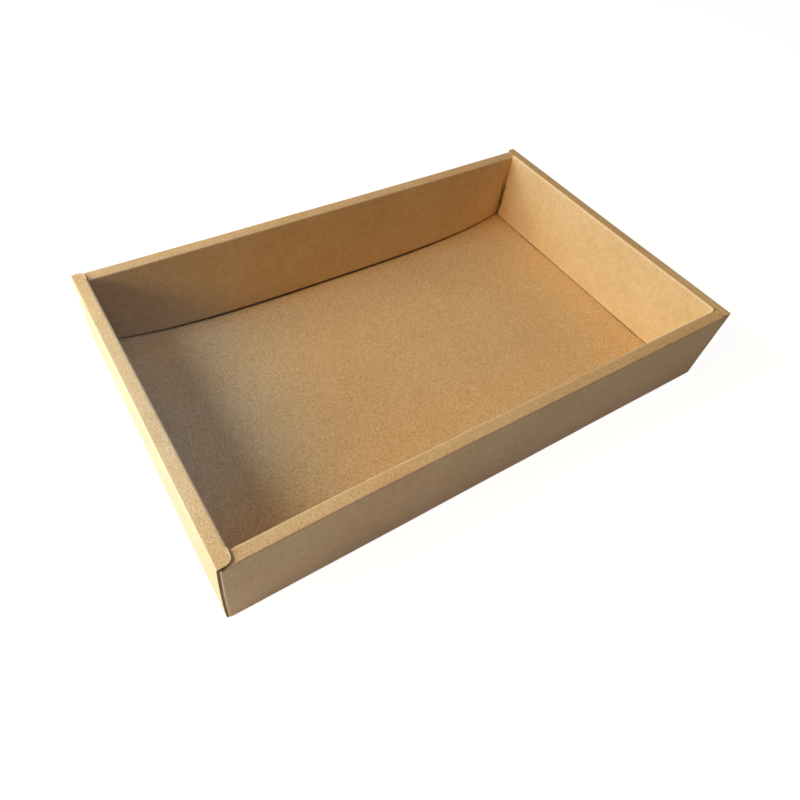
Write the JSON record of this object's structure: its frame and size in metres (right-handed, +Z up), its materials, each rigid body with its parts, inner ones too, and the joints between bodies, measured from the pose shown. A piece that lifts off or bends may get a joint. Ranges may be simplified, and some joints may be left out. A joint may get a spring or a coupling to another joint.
{
  "type": "cardboard tray box",
  "caption": "Open rectangular tray folded from one sheet of corrugated board, with hollow roll-over walls and a flat rim band, to carry and show goods.",
  "frame": {"origin": "middle of the underside of the base, on the surface the tray stands on", "axes": "+X along the long side, +Y across the tray towards the wall whose inner panel bows most, +Z up out of the open top"},
  "size_m": [0.45, 0.276, 0.0712],
  "materials": {
    "kraft_board": "matte"
  },
  "bodies": {
    "root": {"folded_tray": "kraft_board"}
  },
  "joints": []
}
